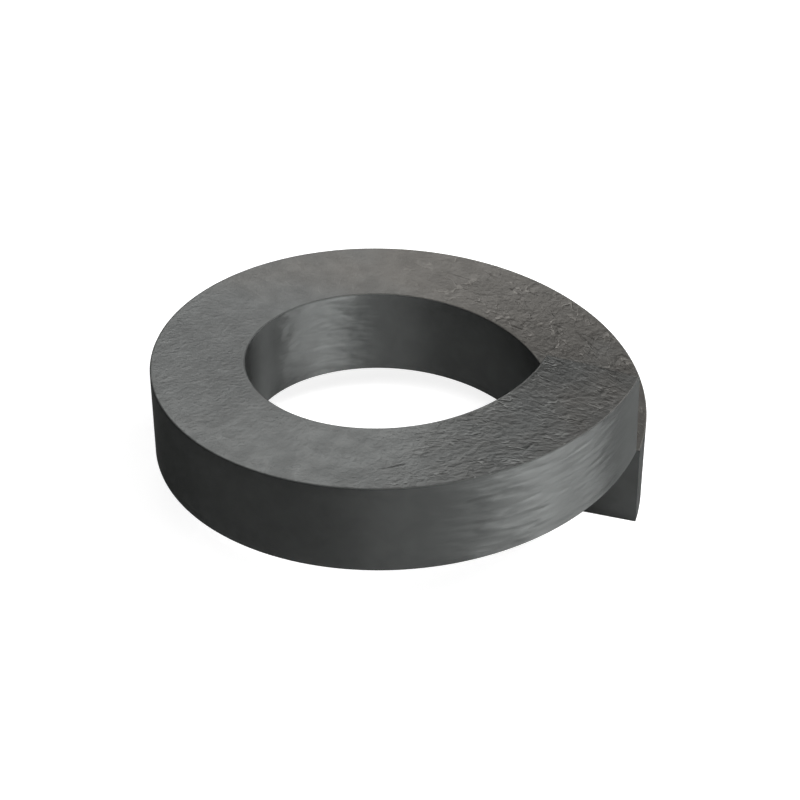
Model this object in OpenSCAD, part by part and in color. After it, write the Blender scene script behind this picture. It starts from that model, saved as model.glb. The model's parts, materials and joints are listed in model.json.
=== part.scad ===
// Spring lock washer for an M5 screw, in millimetres and degrees.
// One turn of square spring wire, wound into a rising coil and cut off square, so that its
// two ends stand one above the other across a narrow slit. The coil rises counterclockwise
// as seen from above. Z runs along the bore, and the slit is on the +X side.

/* [Wire] */
// Width of the wire, from the bore out to the rim
wire_w = 1.6; // [0.8:0.05:3]
// Thickness of the wire, square to its flat faces
wire_t = 1.62; // [0.6:0.02:3]
// Radius of the wire's four rounded edges
edge_r = 0.02; // [0.02:0.01:0.25]

/* [Coil] */
// Diameter of the bore that the screw passes through
bore_d = 5.25; // [3:0.05:12]
// Rise of the coil over one full turn
coil_pitch = 1.8; // [0.2:0.05:4]
// Width of the slit between the two ends, straight across at the rim
slit_w = 0.4; // [0.1:0.05:1.5]

/* [Hidden] */

bore_r = bore_d / 2;
rim_r = bore_r + wire_w;
mean_r = bore_r + wire_w / 2;

// Slope of the wire along its middle line, and the turn that is left beside the slit
lead = atan(coil_pitch / (2 * PI * mean_r));
slit_angle = 2 * asin(slit_w / 2 / rim_r);
coil_turn = 360 - slit_angle;

// The lowest edge of the lower end lies at Z = 0
first_middle_z = wire_t / 2 * cos(lead);
free_height = coil_pitch * coil_turn / 360 + wire_t * cos(lead);

// Fineness of the sweep: turn from one section to the next, and facets on each rounded edge
sections = ceil(coil_turn / 5);
edge_facets = 3;

// How far the swept section reaches past the rim and into the bore, where it is trimmed round
trim = rim_r / 100;
$fn = 180;

// Quarter of the section's outline about the middle of the wire: one rounded edge, from the flat
// face to the wall. Its last facet runs on past the wall by the trim.
edge_arc = [for (i = [0 : edge_facets]) edge_r * [sin(90 * i / edge_facets), cos(90 * i / edge_facets)]];
last_facet = edge_arc[edge_facets] - edge_arc[edge_facets - 1];
edge_points = [
    for (i = [0 : edge_facets])
        i < edge_facets ? edge_arc[i] : edge_arc[i] + last_facet * trim / last_facet.x
];
quarter = [for (p = edge_points) p + [wire_w / 2 - edge_r, wire_t / 2 - edge_r]];
quarter_back = [for (i = [edge_facets : -1 : 0]) quarter[i]];

// Whole outline of the section, clockwise from the top flat, as [outwards, upwards]
outline = concat(
    quarter,
    [for (p = quarter_back) [p.x, -p.y]],
    [for (p = quarter) [-p.x, -p.y]],
    [for (p = quarter_back) [-p.x, p.y]]
);
sides = len(outline);

// A point of the outline carried round the coil, with the section square to the wire
function on_coil(turn, p) =
    let (
        out = mean_r + p.x,
        along = -p.y * sin(lead),
        up = first_middle_z + coil_pitch * turn / 360 + p.y * cos(lead),
        a = slit_angle / 2 + turn
    )
    [out * cos(a) - along * sin(a), out * sin(a) + along * cos(a), up];

// Wire swept round one turn, a little wider than the finished washer
module swept_wire() {
    points = [
        for (i = [0 : sections])
            for (p = outline)
                on_coil(coil_turn * i / sections, p)
    ];
    skin = [
        for (i = [0 : sections - 1])
            for (j = [0 : sides - 1])
                let (a = i * sides + j, b = i * sides + (j + 1) % sides)
                    each [[a, b, b + sides], [a, b + sides, a + sides]]
    ];
    lower_end = [for (j = [sides - 1 : -1 : 0]) j];
    upper_end = [for (j = [0 : sides - 1]) sections * sides + j];
    polyhedron(points = points, faces = concat(skin, [lower_end, upper_end]));
}

// Round walls of the bore and the rim
module round_walls() {
    translate([0, 0, -wire_t])
        difference() {
            cylinder(r = rim_r, h = free_height + 2 * wire_t);
            translate([0, 0, -wire_t])
                cylinder(r = bore_r, h = free_height + 4 * wire_t);
        }
}

module washer() {
    color("#5f605d")
        intersection() {
            round_walls();
            swept_wire();
        }
}

washer();
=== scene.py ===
# Spring lock washer: one turn of square spring steel wire, lying on a pale floor in soft
# studio light. Everything is in metres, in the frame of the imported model: Z runs along the
# bore, the slit is on the +X side, and the floor is at Z = 0.
import json
import math

import bmesh
import bpy
from mathutils import Matrix, Vector, noise


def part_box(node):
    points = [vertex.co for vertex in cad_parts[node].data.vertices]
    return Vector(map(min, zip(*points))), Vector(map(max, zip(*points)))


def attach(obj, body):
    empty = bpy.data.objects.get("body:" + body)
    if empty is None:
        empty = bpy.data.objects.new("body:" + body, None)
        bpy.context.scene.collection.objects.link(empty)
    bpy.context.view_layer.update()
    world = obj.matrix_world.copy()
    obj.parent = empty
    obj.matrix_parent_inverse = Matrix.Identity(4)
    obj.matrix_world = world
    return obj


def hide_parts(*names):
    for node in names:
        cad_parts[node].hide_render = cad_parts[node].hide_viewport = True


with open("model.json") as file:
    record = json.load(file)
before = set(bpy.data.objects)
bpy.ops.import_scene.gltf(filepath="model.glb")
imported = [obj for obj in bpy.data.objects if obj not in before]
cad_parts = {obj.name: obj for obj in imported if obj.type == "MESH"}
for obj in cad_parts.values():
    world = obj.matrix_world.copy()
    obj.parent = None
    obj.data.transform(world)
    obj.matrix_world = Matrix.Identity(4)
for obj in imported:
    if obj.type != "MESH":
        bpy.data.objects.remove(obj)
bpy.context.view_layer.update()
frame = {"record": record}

# The washer
# One piece of square spring steel wire with eased edges, coiled into a single rising turn and
# cut off square, so that one end stands above the other at the slit. The coiling has creased
# the flats, most of all near the cut, and the round walls keep the marks of the drawing.

MM = 0.001

bore_mount = next(m for m in frame["record"]["mounts"] if m["name"] == "bore")
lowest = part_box("washer")[0]
bore_radius = bore_mount["dims"]["r_mm"] * MM
rim_radius = -lowest.x
wire_width = rim_radius - bore_radius
middle_radius = (bore_radius + rim_radius) / 2
wire_thickness = 1.62 * MM
edge_radius = 0.02 * MM
coil_pitch = 1.8 * MM
slit_width = 0.4 * MM

# Slope of the wire along its middle line, the angle and the height at which that line starts,
# and the turn that it makes
lead = math.atan(coil_pitch / (2 * math.pi * middle_radius))
start_angle = math.asin(slit_width / 2 / rim_radius)
start_height = wire_thickness / 2 * math.cos(lead)
coil_turn = 2 * math.pi - 2 * start_angle

# How finely the wire is divided: cuts across each face, facets round each eased edge, and the
# step along the coil, which is shorter on the creased stretch at each end
flat_cuts = 81
underside_cuts = 15
wall_cuts = 7
edge_facets = 3
creased_after_start = math.radians(78)
creased_before_end = math.radians(46)
creased_step = math.radians(0.29)
plain_step = math.radians(0.66)
steps_per_length = 16


def wire_section(mesh, turn):
    """Outline of the wire at a turn round the coil, square to the wire, as a loop of edges."""
    half_width = wire_width / 2
    half_thickness = wire_thickness / 2
    corners = [
        mesh.verts.new((middle_radius + side * half_width, 0, level * half_thickness))
        for side, level in ((1, 1), (-1, 1), (-1, -1), (1, -1))
    ]
    mesh.faces.new(corners)
    bmesh.ops.bevel(
        mesh, geom=corners, affect="VERTICES", offset=edge_radius, offset_type="OFFSET",
        segments=edge_facets, profile=0.5, material=-1,
    )
    bmesh.ops.delete(mesh, geom=mesh.faces[:], context="FACES_ONLY")

    # The four straight sides are far longer than the facets of the eased edges
    for straight in [e for e in mesh.edges if e.calc_length() > 4 * edge_radius]:
        level = (straight.verts[0].co.z + straight.verts[1].co.z) / 2
        if level > half_thickness / 2:
            cuts = flat_cuts
        elif level < -half_thickness / 2:
            cuts = underside_cuts
        else:
            cuts = wall_cuts
        bmesh.ops.subdivide_edges(mesh, edges=[straight], cuts=cuts)
    square_to_wire = Matrix.Rotation(lead, 4, "X")
    round_the_coil = Matrix.Rotation(start_angle + turn, 4, "Z")
    raised = Matrix.Translation((0, 0, start_height + coil_pitch * turn / (2 * math.pi)))
    bmesh.ops.transform(mesh, verts=mesh.verts, matrix=raised @ round_the_coil @ square_to_wire)


def wind(start, end, longest_step):
    """One stretch of wire, from one turn round the coil to another: a short length is spun
    from the section, and copies of it carry on along the coil."""
    stretch = bmesh.new()
    wire_section(stretch, start)
    lengths = math.ceil((end - start) / (steps_per_length * longest_step))
    length_turn = (end - start) / lengths
    length_rise = coil_pitch * length_turn / (2 * math.pi)
    bmesh.ops.spin(
        stretch, geom=stretch.verts[:] + stretch.edges[:], cent=(0, 0, 0), axis=(0, 0, 1),
        dvec=(0, 0, length_rise / steps_per_length), angle=length_turn, steps=steps_per_length,
        use_merge=False, use_duplicate=False,
    )
    bmesh.ops.spin(
        stretch, geom=stretch.verts[:] + stretch.edges[:] + stretch.faces[:], cent=(0, 0, 0),
        axis=(0, 0, 1), dvec=(0, 0, length_rise), angle=length_turn * (lengths - 1),
        steps=lengths - 1, use_merge=False, use_duplicate=True,
    )
    wound = bpy.data.meshes.new("stretch")
    stretch.to_mesh(wound)
    stretch.free()
    return wound


coil = bmesh.new()
plain_from = creased_after_start
plain_to = coil_turn - creased_before_end
for start, end, step in (
    (0, plain_from, creased_step),
    (plain_from, plain_to, plain_step),
    (plain_to, coil_turn, creased_step),
):
    coil.from_mesh(wind(start, end, step))
weld_reach = 0.001 * MM
bmesh.ops.remove_doubles(coil, verts=coil.verts, dist=weld_reach)

# The two ends, cut off square with a hard edge
open_edges = [e for e in coil.edges if e.is_boundary]
bmesh.ops.edgeloop_fill(coil, edges=open_edges)
for face in coil.faces:
    face.smooth = len(face.verts) == 4
for edge in open_edges:
    edge.smooth = False
bmesh.ops.recalc_face_normals(coil, faces=coil.faces)
coil.normal_update()

# Surface of the flats: long low waves left by the coiling, short curved creases that gather
# near the cut ends, finer creases between them, and a few long nicks. A crease follows the
# zero line of a smooth noise, and its width is a share of that noise.
wave_length = 1.1 * MM
wave_depth = 0.003 * MM
crease_spacing = 0.14 * MM
crease_width = 0.2
crease_depth = 0.0033 * MM
fine_spacing = 0.62 * crease_spacing
fine_share = 0.6
fine_shift = Vector((0, 0, 3 * MM))
underside_shift = 9 * MM

# Where the flats are creased: fully on the side of the cut and faintly elsewhere, with a
# ragged border, and in clusters with smoother patches between them
creased_angle = math.radians(18)
creased_side = Vector((math.cos(creased_angle), math.sin(creased_angle), 0))
creased_border = (-0.12, 0.3)
ragged_size = 0.9 * MM
ragged_share = 0.22
faint_share = 0.3
patch_size = 0.42 * MM
patch_shift = Vector((3, 8, 1))
patch_border = (-0.3, 0.25)
smooth_patch = 0.7
creased_patch = 1.2

# The creases run longer than they are wide, and fan out from a point beyond the cut. Their
# spacing holds at one distance from it. They wander a little, and are broken into strokes.
crease_stretch = 2.8
crease_source = Vector((6.6, -1.6, 0)) * MM
crease_reach = 4.5 * MM
wander_scale = 0.6
wander_share = 0.6
wander_seed = 2
stroke_scale = 0.8
stroke_shift = Vector((17, 5, 3))
stroke_border = (0.0, 0.3)

# The nicks taper towards both ends, the creases stop short of the eased edges, and all relief
# stops short of the cut. Only level faces have it, by the upright share of their direction.
nick_width = 0.015 * MM
nick_taper = (-0.15, 0.3)
bare_edge = 0.13 * MM
bare_end = math.radians(1.5)
level_border = (0.55, 0.95)


def eased(value, low, high):
    """0 below low, 1 above high, and a smooth rise between them."""
    t = min(1.0, max(0.0, (value - low) / (high - low)))
    return t * t * (3 - 2 * t)


def creased_share(place):
    """How strongly the flat is creased at a place: about 1 near the cut, and less elsewhere."""
    toward = place.dot(creased_side) / rim_radius
    ragged = ragged_share * noise.noise(place / ragged_size)
    share = faint_share + (1 - faint_share) * eased(toward + ragged, *creased_border)
    cluster = eased(noise.noise(place / patch_size + patch_shift), *patch_border)
    return share * (smooth_patch + (creased_patch - smooth_patch) * cluster)


def crease_run(place):
    """Place among the creases: along them, across them and on which face."""
    gap = (crease_source - place).to_2d()
    return Vector((gap.length / crease_stretch, math.atan2(gap.y, gap.x) * crease_reach, place.z))


# The wander of the creases is drawn from a seed, or it would change from one run to the next
noise.seed_set(wander_seed)


def creases(run, spacing):
    """Depth share of the short curved creases at a place among them, 0 to 1."""
    spot = run / spacing
    wander = noise.noise_vector(spot * wander_scale) * wander_share
    line = math.exp(-((noise.noise(spot + wander) / crease_width) ** 2))
    stroke = Vector((spot.x * crease_stretch, spot.y, spot.z)) * stroke_scale + stroke_shift
    return line * eased(noise.noise(stroke), *stroke_border)


# Nicks on the upper flat: where each starts and ends, as (degrees round the coil, share of
# the way from the bore to the rim), and its depth in mm
nicks = [
    ((97, 0.61), (86, 0.56), 0.005),
    ((78.5, 0.67), (71.5, 0.63), 0.009),
    ((51, 0.64), (40.5, 0.70), 0.010),
    ((66, 0.10), (60, 0.16), 0.007),
    ((57.5, 0.50), (54, 0.55), 0.006),
    ((37.5, 0.93), (35.5, 0.99), 0.008),
    ((285.6, 0.69), (292, 0.62), 0.008),
    ((318, 0.86), (323, 0.78), 0.006),
]


def on_flat(degrees, share):
    """Place on the plan of the washer, by angle and by share of the way out."""
    out = bore_radius + share * wire_width
    return Vector((out * math.cos(math.radians(degrees)), out * math.sin(math.radians(degrees)), 0))


nick_lines = [(on_flat(*start), on_flat(*end), depth * MM) for start, end, depth in nicks]


def nick_cut(place):
    """Depth of the nicks at a place on the upper flat."""
    cut = 0.0
    for start, end, depth in nick_lines:
        run = end - start
        along = min(1.0, max(0.0, (place - start).dot(run) / run.length_squared))
        gap = (place - start - run * along).length / nick_width
        cut += depth * math.exp(-gap * gap) * eased(min(along, 1 - along), *nick_taper)
    return cut


# The finish of the flats reads these two: the place among the creases, in mm, and how strongly
# the flat is creased there
place_in_creases = coil.verts.layers.float_vector.new("place_in_creases")
creased = coil.verts.layers.float.new("creased")
for vert in coil.verts:
    level = vert.normal.z
    plan = Vector((vert.co.x, vert.co.y, 0 if level > 0 else underside_shift))
    turn = math.atan2(plan.y, plan.x) % (2 * math.pi) - start_angle
    out = plan.to_2d().length
    run = crease_run(plan)
    vert[place_in_creases] = run / MM
    vert[creased] = creased_share(plan)
    flatness = eased(abs(level), *level_border)
    if flatness == 0:
        continue
    share = vert[creased] * eased(min(out - bore_radius, rim_radius - out), edge_radius, bare_edge)
    depth = wave_depth * noise.noise(plan / wave_length)
    depth += crease_depth * share * creases(run, crease_spacing)
    depth += crease_depth * share * creases(run + fine_shift, fine_spacing) * fine_share
    if level > 0:
        depth += nick_cut(plan)
    flatness *= eased(min(turn, coil_turn - turn), 0, bare_end)
    vert.co.z -= math.copysign(depth * flatness, level)

# Where each point lies on the wire, in mm: along it, outwards and upwards from its middle.
# The draw marks and the finish of the eased edges follow this.
place_on_wire = coil.verts.layers.float_vector.new("place_on_wire")
for vert in coil.verts:
    turn = math.atan2(vert.co.y, vert.co.x) % (2 * math.pi) - start_angle
    out = math.hypot(vert.co.x, vert.co.y) - middle_radius
    up = vert.co.z - start_height - coil_pitch * turn / (2 * math.pi)
    vert[place_on_wire] = Vector((turn * middle_radius, out, up)) / MM

# The round walls take the second of the two finishes. The cut ends are faces of many sides,
# and keep the first with the flats.
least_level = 0.7
for face in coil.faces:
    on_wall = len(face.verts) == 4 and abs(face.normal.z) < least_level
    face.material_index = 1 if on_wall else 0

# The faces go in the order of their points, which makes the mesh the same at each run
coil.verts.index_update()


def point_order(face):
    """Rank of a face, by its first point and the one across from it."""
    return face.verts[0].index * len(coil.verts) + face.verts[2].index


coil.faces.sort(key=point_order)
washer_mesh = bpy.data.meshes.new("washer")
coil.to_mesh(washer_mesh)
coil.free()
washer = bpy.data.objects.new("spring_washer", washer_mesh)
bpy.context.scene.collection.objects.link(washer)

# The eased edges have a painted shade, a little darker than the faces, and are much duller, so
# that they don't draw a bright line. Their finish begins, and is full, this far in from the sides of the
# wire.
edge_painted_shade = 0.9
edge_roughness = 0.8
edge_begins = 1.5 * edge_radius
edge_is_full = 0.7 * edge_radius


def near_side(across):
    """Where an eased edge begins and is full, in mm from the middle of a wire this far across."""
    return (across / 2 - edge_begins) / MM, (across / 2 - edge_is_full) / MM


class Finish:
    """One finish of the steel, with short calls for the nodes of its material."""

    def __init__(self, name):
        self.material = bpy.data.materials.new(name)
        self.material.use_nodes = True
        self.tree = self.material.node_tree
        self.shader = self.tree.nodes["Principled BSDF"]
        self.shader.inputs["Metallic"].default_value = 1.0
        object_place = self.node("ShaderNodeTexCoord").outputs["Object"]
        in_mm = self.node("ShaderNodeVectorMath", {0: object_place, "Scale": 1 / MM}, operation="SCALE")
        self.place = in_mm.outputs[0]
        self.wire_place = self.attribute("place_on_wire", "Vector")
        across = self.node("ShaderNodeSeparateXYZ", {0: self.wire_place}).outputs
        beside = self.ramp(self.math("ABSOLUTE", across["Y"]), *near_side(wire_width), 0.0, 1.0)
        above = self.ramp(self.math("ABSOLUTE", across["Z"]), *near_side(wire_thickness), 0.0, 1.0)
        self.on_edge = self.math("MULTIPLY", beside, above)

    def node(self, kind, inputs=None, **settings):
        made = self.tree.nodes.new(kind)
        for key, value in settings.items():
            setattr(made, key, value)
        for socket, value in (inputs or {}).items():
            self.feed(made.inputs[socket], value)
        return made

    def feed(self, socket, value):
        if isinstance(value, bpy.types.NodeSocket):
            self.tree.links.new(value, socket)
        else:
            socket.default_value = value

    def attribute(self, name, output):
        return self.node("ShaderNodeAttribute", attribute_name=name).outputs[output]

    def facing(self):
        """Direction that the surface faces, without the bumps."""
        return self.node("ShaderNodeNewGeometry").outputs["True Normal"]

    def math(self, operation, a, b=0.0):
        return self.node("ShaderNodeMath", {0: a, 1: b}, operation=operation).outputs[0]

    def toward(self, direction, side):
        """How far a direction or a place points to a side."""
        dot = self.node("ShaderNodeVectorMath", {0: direction, 1: side}, operation="DOT_PRODUCT")
        return dot.outputs["Value"]

    def ramp(self, value, low, high, start, end):
        """Value from low to high becomes start to end, smoothly."""
        sizes = {"Value": value, "From Min": low, "From Max": high, "To Min": start, "To Max": end}
        return self.node("ShaderNodeMapRange", sizes, interpolation_type="SMOOTHSTEP").outputs["Result"]

    def noise(self, place, scale, detail=2.0, warp=0.0):
        sizes = {"Vector": place, "Scale": scale, "Detail": detail, "Distortion": warp}
        return self.node("ShaderNodeTexNoise", sizes).outputs["Fac"]

    def relief(self, height, depth):
        """Bumps the surface by a height that changes by about 1, depth in metres."""
        bump = self.node("ShaderNodeBump", {"Strength": 1.0, "Distance": depth, "Height": height})
        self.feed(self.shader.inputs["Normal"], bump.outputs["Normal"])

    def colour(self, tone, share):
        """Base colour, a tone made lighter or darker by a share near 1, and a painted shade on the edges.
        """
        # Painted shade: the share is darker on the eased edges, so that they don't catch a bright line
        share = self.math("MULTIPLY", share, self.ramp(self.on_edge, 0.0, 1.0, 1.0, edge_painted_shade))
        shaded = self.node("ShaderNodeVectorMath", {0: tone, "Scale": share}, operation="SCALE")
        self.feed(self.shader.inputs["Base Color"], shaded.outputs[0])

    def gloss(self, roughness):
        """Roughness of the faces, with the eased edges duller."""
        duller = self.node("ShaderNodeMix", {"Factor": self.on_edge, "A": roughness, "B": edge_roughness})
        self.feed(self.shader.inputs["Roughness"], duller.outputs["Result"])


# The flats and the cut ends: creased, and a little warmer in tone towards one side, as painted
# warm light. Places are in mm here, so the noises are scaled per mm.
flats = Finish("creased_steel")
facing_up = flats.node("ShaderNodeSeparateXYZ", {0: flats.facing()}).outputs["Z"]
level_share = flats.ramp(flats.math("ABSOLUTE", facing_up), 0.5, 0.9, 0.0, 1.0)
creased_here = flats.attribute("creased", "Fac")
among_creases = flats.attribute("place_in_creases", "Vector")

# Finest creases, between those of the mesh: thin raised lines, broken into short strokes
line_width = 0.045
line_noise = flats.noise(among_creases, 6.5, detail=1.5, warp=0.3)
off_the_line = flats.math("ABSOLUTE", flats.math("SUBTRACT", line_noise, 0.5))
lines = flats.ramp(off_the_line, 0.0, line_width, 1.0, 0.0)
strokes = flats.ramp(flats.noise(flats.place, 3.6, detail=1.0), 0.46, 0.6, 0.0, 1.0)
creased_flat = flats.math("MULTIPLY", creased_here, level_share)
crests = flats.math("MULTIPLY", flats.math("MULTIPLY", lines, strokes), creased_flat)

# Grain under them, even all over the flats and drawn out with the creases
even_height = 1.9
drawn_height = 1.8
surface_depth = 0.0034 * MM
even_grain = flats.math("MULTIPLY", flats.noise(flats.place, 13.0, detail=3.0, warp=0.4), level_share)
drawn_grain = flats.math("MULTIPLY", flats.noise(among_creases, 15.0, detail=3.0, warp=0.4), creased_flat)
even_grain = flats.math("MULTIPLY", even_grain, even_height)
drawn_grain = flats.math("MULTIPLY", drawn_grain, drawn_height)
grain = flats.math("ADD", drawn_grain, even_grain)
flats.relief(flats.math("ADD", crests, grain), surface_depth)

# Tone of the steel, with a painted highlight that makes the crests brighter and a painted shade that
# makes the cut ends darker
painted_warm_steel = (0.136, 0.130, 0.120, 1)
cool_steel = (0.1275, 0.1325, 0.130, 1)
painted_warm_angle = math.radians(65)
painted_warm_side = Vector((math.cos(painted_warm_angle), math.sin(painted_warm_angle), 0)) * MM / rim_radius
crest_painted_highlight = 1.45
end_painted_shade = 0.6
flat_roughness = (0.31, 0.37)
# Painted warm light: the tone turns warmer towards one side of the washer, and a little where creased
toward_warm = flats.math("MULTIPLY", flats.toward(flats.place, painted_warm_side), 0.5)
painted_warmth = flats.ramp(flats.math("ADD", toward_warm, flats.noise(flats.place, 0.5)), 0.4, 0.95, 0.0, 0.9)
painted_warmth = flats.math("ADD", painted_warmth, flats.math("MULTIPLY", creased_here, 0.2))
painted_warmth = flats.math("MULTIPLY", painted_warmth, level_share)
tone = flats.node("ShaderNodeMix", {"Factor": painted_warmth}, data_type="RGBA")
tone.inputs["A"].default_value = cool_steel
tone.inputs["B"].default_value = painted_warm_steel
blotches = flats.ramp(flats.noise(flats.place, 2.2, detail=5.0, warp=0.5), 0.3, 0.7, 0.93, 1.07)
# Painted shade darkens the cut ends and a painted highlight brightens the crests, over the random
# blotches of tone
shade = flats.math("MULTIPLY", blotches, flats.ramp(level_share, 0.0, 1.0, end_painted_shade, 1.0))
shade = flats.math("MULTIPLY", shade, flats.ramp(crests, 0.0, 1.0, 1.0, crest_painted_highlight))
flats.colour(tone.outputs["Result"], shade)
flats.gloss(flats.ramp(flats.noise(flats.place, 3.0, detail=4.0), 0.3, 0.7, *flat_roughness))

# The round walls: drawn smooth, with long low marks along the wire that are strong on one
# side and half as strong in the bore. Marks too fine to see spread a reflection up and down
# and keep it narrow along the wire, and the steel shines little at a grazing angle.
walls = Finish("drawn_steel")
mark_stretch = (1.8, 6.5, 6.5)
mark_depth = 0.060 * MM
faint_marks = 0.06
bore_marks = 0.5
marked_angle = math.radians(-36)
marked_side = (math.cos(marked_angle), math.sin(marked_angle), 0)
wall_roughness = (0.44, 0.56)
fine_marks = 0.95
quarter_turn = 0.25
grazing_shine = (0.4, 0.4, 0.4, 1)
drawn_out = walls.node("ShaderNodeMapping", {"Vector": walls.wire_place, "Scale": mark_stretch})
marks = walls.noise(drawn_out.outputs[0], 1.0, detail=1.3, warp=0.15)
marked = walls.ramp(walls.toward(walls.facing(), marked_side), 0.88, 0.97, faint_marks, 1.0)
outwards = walls.node("ShaderNodeSeparateXYZ", {0: walls.wire_place}).outputs["Y"]
marked_rim = walls.ramp(outwards, -0.1, 0.1, bore_marks, 1.0)
marks = walls.math("MULTIPLY", walls.math("SUBTRACT", marks, 0.5), marked)
marks = walls.math("MULTIPLY", marks, marked_rim)
walls.relief(marks, mark_depth)
blotches = walls.ramp(walls.noise(walls.place, 2.2, detail=5.0, warp=0.5), 0.3, 0.7, 0.95, 1.05)
walls.colour(cool_steel[:3], blotches)
walls.gloss(walls.ramp(marks, -0.2, 0.2, *wall_roughness))
round_the_bore = walls.node("ShaderNodeTangent", direction_type="RADIAL", axis="Z").outputs["Tangent"]
walls.feed(walls.shader.inputs["Tangent"], round_the_bore)
walls.shader.inputs["Anisotropic"].default_value = fine_marks
walls.shader.inputs["Anisotropic Rotation"].default_value = quarter_turn
walls.shader.inputs["Specular Tint"].default_value = grazing_shine

washer_mesh.materials.append(flats.material)
washer_mesh.materials.append(walls.material)
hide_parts("washer")
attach(washer, "root")

# The camera
# A long lens that looks down on the washer from the front, with the slit at the right.

camera_azimuth = math.radians(20.2)
camera_elevation = math.radians(35.48)
camera_distance = 38.18 * MM
camera_target = Vector((0, 0, 1.708 * MM))

camera_data = bpy.data.cameras.new("camera")
camera_data.sensor_width = 36
camera_data.lens = 100
camera_data.clip_start = 1 * MM
camera_data.clip_end = 10
camera = bpy.data.objects.new("camera", camera_data)
bpy.context.scene.collection.objects.link(camera)
camera_side = Vector((
    math.sin(camera_azimuth) * math.cos(camera_elevation),
    -math.cos(camera_azimuth) * math.cos(camera_elevation),
    math.sin(camera_elevation),
))
camera.location = camera_target + camera_side * camera_distance
camera.rotation_euler = camera_side.to_track_quat("Z", "Y").to_euler()
bpy.context.scene.camera = camera

# The floor and the room
# A pale matt disc of floor in a white room. The camera sees both as white, and the floor ends
# where it looks as bright as the room. Their glow leaves the washer's shadow on the floor, and
# the steel sees only a little of it, as in a studio with dark sides.

floor_reach = 60 * MM
floor_sides = 96
floor_colour = (0.5, 0.5, 0.5, 1)
white = (1, 1, 1, 1)

# Strength of the glow: as the camera sees it, in the metal, and as light on everything else
floor_seen = 0.85
floor_in_metal = 0.0
floor_light = 0.0
room_seen = 1.0
room_in_metal = 0.04
room_light = 0.02

floor_bm = bmesh.new()
bmesh.ops.create_circle(floor_bm, cap_ends=True, segments=floor_sides, radius=floor_reach)
floor_mesh = bpy.data.meshes.new("floor")
floor_bm.to_mesh(floor_mesh)
floor_bm.free()
floor = bpy.data.objects.new("floor", floor_mesh)
bpy.context.scene.collection.objects.link(floor)

matt = bpy.data.materials.new("pale_floor")
matt.use_nodes = True
matt_shader = matt.node_tree.nodes["Principled BSDF"]
matt_shader.inputs["Base Color"].default_value = floor_colour
matt_shader.inputs["Roughness"].default_value = 1.0
matt_shader.inputs["Specular IOR Level"].default_value = 0.0
matt_shader.inputs["Emission Color"].default_value = white


def glow(tree, seen, in_metal, otherwise):
    """A strength for rays from the camera or through glass, for rays off metal, and the rest."""
    path = tree.nodes.new("ShaderNodeLightPath")
    value = otherwise
    rays = {"Is Glossy Ray": in_metal, "Is Transmission Ray": seen, "Is Camera Ray": seen}
    for ray, amount in rays.items():
        pick = tree.nodes.new("ShaderNodeMix")
        tree.links.new(path.outputs[ray], pick.inputs["Factor"])
        if isinstance(value, bpy.types.NodeSocket):
            tree.links.new(value, pick.inputs["A"])
        else:
            pick.inputs["A"].default_value = value
        pick.inputs["B"].default_value = amount
        value = pick.outputs["Result"]
    return value


floor_glow = glow(matt.node_tree, floor_seen, floor_in_metal, floor_light)
matt.node_tree.links.new(floor_glow, matt_shader.inputs["Emission Strength"])
floor_mesh.materials.append(matt)

room = bpy.data.worlds.new("room")
room.use_nodes = True
room_shader = room.node_tree.nodes["Background"]
room_shader.inputs["Color"].default_value = white
room_glow = glow(room.node_tree, room_seen, room_in_metal, room_light)
room.node_tree.links.new(room_glow, room_shader.inputs["Strength"])
bpy.context.scene.world = room

# The lamps
# Nine soft boxes that stand round the washer and face it: strong ones at the right and above,
# for the shine on the rim at the front right, and weak ones behind.

lamp_distance = 60 * MM

# Angle round from the camera's right-hand side and height above the floor, in degrees, then
# width and height in mm, and brightness, where 1 is as bright as white paper in full light
lamps = {
    "side_low": (-10, 12, 20, 12, 13.8),
    "key_low": (-30, 12, 20, 12, 8.6),
    "key_high": (-20, 55, 24, 20, 21.0),
    "front_right": (-50, 55, 24, 20, 4.9),
    "front": (-90, 55, 24, 20, 4.6),
    "right": (35, 35, 20, 20, 8.9),
    "back_left": (110, 36, 24, 18, 2.4),
    "back_low": (85, 24, 24, 18, 1.25),
    "back": (85, 36, 24, 18, 1.07),
}


def soft_box(name, round_from_right, elevation, width, height, brightness):
    """A rectangular lamp aimed at the washer."""
    turn = math.radians(round_from_right) + camera_azimuth
    rise = math.radians(elevation)
    side = Vector((math.cos(turn) * math.cos(rise), math.sin(turn) * math.cos(rise), math.sin(rise)))
    light = bpy.data.lights.new(name, "AREA")
    light.shape = "RECTANGLE"
    light.size = width
    light.size_y = height
    light.energy = brightness * math.pi * width * height
    lamp = bpy.data.objects.new(name, light)
    bpy.context.scene.collection.objects.link(lamp)
    lamp.location = camera_target + side * lamp_distance
    lamp.rotation_euler = side.to_track_quat("Z", "Y").to_euler()
    lamp.visible_camera = False


for name, (round_from_right, elevation, width, height, brightness) in lamps.items():
    soft_box(name, round_from_right, elevation, width * MM, height * MM, brightness)

bpy.context.scene.view_settings.view_transform = "Standard"
